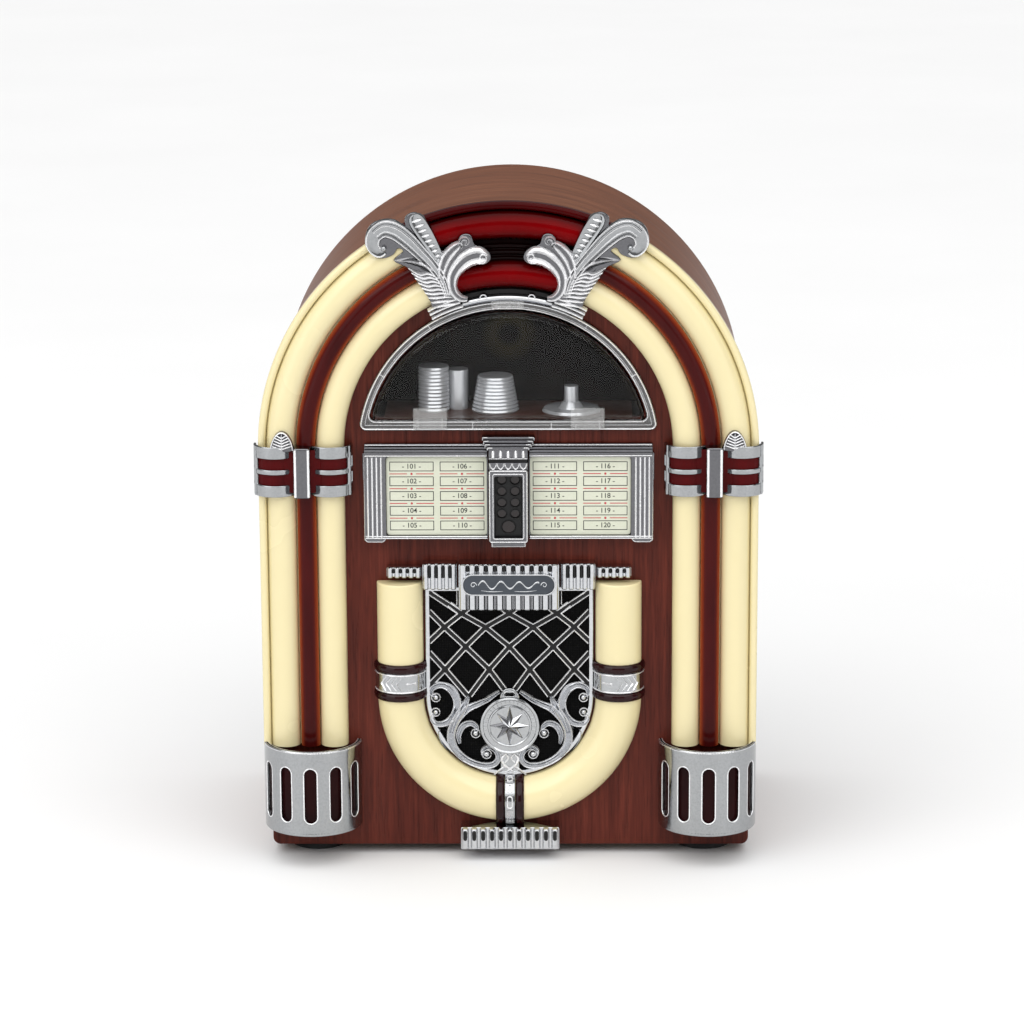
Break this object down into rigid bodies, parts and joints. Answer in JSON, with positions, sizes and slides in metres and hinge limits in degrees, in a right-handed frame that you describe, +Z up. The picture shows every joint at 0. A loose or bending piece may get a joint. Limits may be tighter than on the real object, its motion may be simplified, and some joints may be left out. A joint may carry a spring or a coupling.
{
  "type": "tabletop jukebox radio",
  "caption": "Tabletop jukebox radio: arched wooden cabinet with lit columns, display window, title cards, speaker grille, side controls, rear battery door and telescopic aerial.",
  "frame": {"origin": "on the table, midway between the sides and between the foremost and rearmost points", "axes": "+Z up, the front faces -Y, +X to the right seen from the front"},
  "size_m": [0.267, 0.19, 0.3545],
  "materials": {
    "mahogany_veneer": "satin reddish brown mahogany veneer, grain upright on the front",
    "rear_board": "dark painted hardboard",
    "black_rubber": "matt",
    "steel_screws": "zinc plated",
    "cream_plastic": "glossy translucent cream",
    "red_plastic": "glossy deep red, translucent",
    "chrome_trim": "vacuum plated plastic, polished",
    "dark_red_liner": "glossy dark red",
    "clear_plastic": "clear moulded plastic",
    "black_plastic": "satin black",
    "brown_floor": "satin brown",
    "silver_plastic": "plated plastic",
    "title_paper": "printed card, pale green cream",
    "lamp_red": "red lamp lenses",
    "lamp_clear": "clear lamps in white holders",
    "grille_fabric": "black loudspeaker cloth",
    "speaker_steel": "black pressed steel",
    "speaker_ferrite": "dark ferrite",
    "speaker_paper": "treated paper",
    "circuit_board": "green board with dark components",
    "knob_plastic": "glossy black",
    "aerial_chrome": "chromed brass tube"
  },
  "bodies": {
    "cabinet": {"cabinet_shell": "mahogany_veneer", "front_panel": "mahogany_veneer", "base_board": "mahogany_veneer", "rear_panel": "rear_board", "rubber_feet": "black_rubber", "rear_screws": "steel_screws", "column_diffuser_left": "cream_plastic", "column_diffuser_right": "cream_plastic", "upper_tubes": "cream_plastic", "lower_tubes": "cream_plastic", "column_rods": "red_plastic", "crown_lens": "red_plastic", "tube_rings": "red_plastic", "crown_rail": "chrome_trim", "scroll_ornament_left": "chrome_trim", "scroll_ornament_right": "chrome_trim", "ferrule_left": "chrome_trim", "ferrule_right": "chrome_trim", "shoe_left": "chrome_trim", "shoe_right": "chrome_trim", "title_holders": "chrome_trim", "selector_housing": "chrome_trim", "grille_header": "chrome_trim", "grille_lattice": "chrome_trim", "medallion": "chrome_trim", "tube_bands": "chrome_trim", "base_badge": "chrome_trim", "ferrule_inserts": "dark_red_liner", "shoe_liners": "dark_red_liner", "window_bezel": "clear_plastic", "window_cover": "clear_plastic", "window_clips": "clear_plastic", "display_tray": "black_plastic", "selector_plate": "black_plastic", "nameplate": "black_plastic", "control_panel": "black_plastic", "battery_tray": "black_plastic", "dc_jack": "black_plastic", "aerial_bracket": "black_plastic", "display_floor": "brown_floor", "record_stacks": "silver_plastic", "record_spindle": "silver_plastic", "title_cards": "title_paper", "selector_lamps": "lamp_red", "arch_lamps": "lamp_clear", "grille_cloth": "grille_fabric", "speaker_frame": "speaker_steel", "speaker_magnet": "speaker_ferrite", "control_board": "circuit_board", "main_board": "circuit_board"},
    "aerial_swivel_body": {"aerial_swivel": "silver_plastic"},
    "aerial_mast_body": {"aerial_mast": "aerial_chrome"},
    "aerial_middle_body": {"aerial_middle": "aerial_chrome"},
    "aerial_tip_body": {"aerial_tip": "aerial_chrome"},
    "battery_door_body": {"battery_door": "black_plastic"},
    "speaker_cone_body": {"speaker_cone": "speaker_paper"},
    "tuning_knob_body": {"tuning_knob": "knob_plastic"},
    "volume_knob_body": {"volume_knob": "knob_plastic"},
    "band_switch_body": {"band_switch": "knob_plastic"},
    "lamp_switch_body": {"lamp_switch": "knob_plastic"}
  },
  "joints": [
    {"name": "aerial_swivel", "type": "hinge", "parent": "cabinet", "child": "aerial_swivel_body", "pos_m": [0.078, 0.0904, 0.15], "axis": [0, 1, 0], "range_deg": [-90, 90]},
    {"name": "aerial_tilt", "type": "hinge", "parent": "aerial_swivel_body", "child": "aerial_mast_body", "pos_m": [0.078, 0.0904, 0.15], "axis": [-1, 0, 0], "range_deg": [0, 90]},
    {"name": "aerial_middle_slide", "type": "slide", "parent": "aerial_mast_body", "child": "aerial_middle_body", "axis": [0, 0, 1], "range_m": [0, 0.1]},
    {"name": "aerial_tip_slide", "type": "slide", "parent": "aerial_middle_body", "child": "aerial_tip_body", "axis": [0, 0, 1], "range_m": [0, 0.1]},
    {"name": "battery_door_hinge", "type": "hinge", "parent": "cabinet", "child": "battery_door_body", "pos_m": [0, 0.0768, 0.086], "axis": [1, 0, 0], "range_deg": [0, 100]},
    {"name": "speaker_cone_travel", "type": "slide", "parent": "cabinet", "child": "speaker_cone_body", "axis": [0, -1, 0], "range_m": [-0.001, 0.001], "stiffness_N_per_m": 1500},
    {"name": "tuning_turn", "type": "hinge", "parent": "cabinet", "child": "tuning_knob_body", "pos_m": [0.1185, 0.006, 0.138], "axis": [1, 0, 0], "range_deg": [-90, 90]},
    {"name": "volume_turn", "type": "hinge", "parent": "cabinet", "child": "volume_knob_body", "pos_m": [0.1185, 0.006, 0.097], "axis": [-1, 0, 0], "range_deg": [0, 300]},
    {"name": "band_switch_slide", "type": "slide", "parent": "cabinet", "child": "band_switch_body", "axis": [0, 0, 1], "range_m": [0, 0.004]},
    {"name": "lamp_switch_slide", "type": "slide", "parent": "cabinet", "child": "lamp_switch_body", "axis": [0, 0, 1], "range_m": [0, 0.004]}
  ]
}
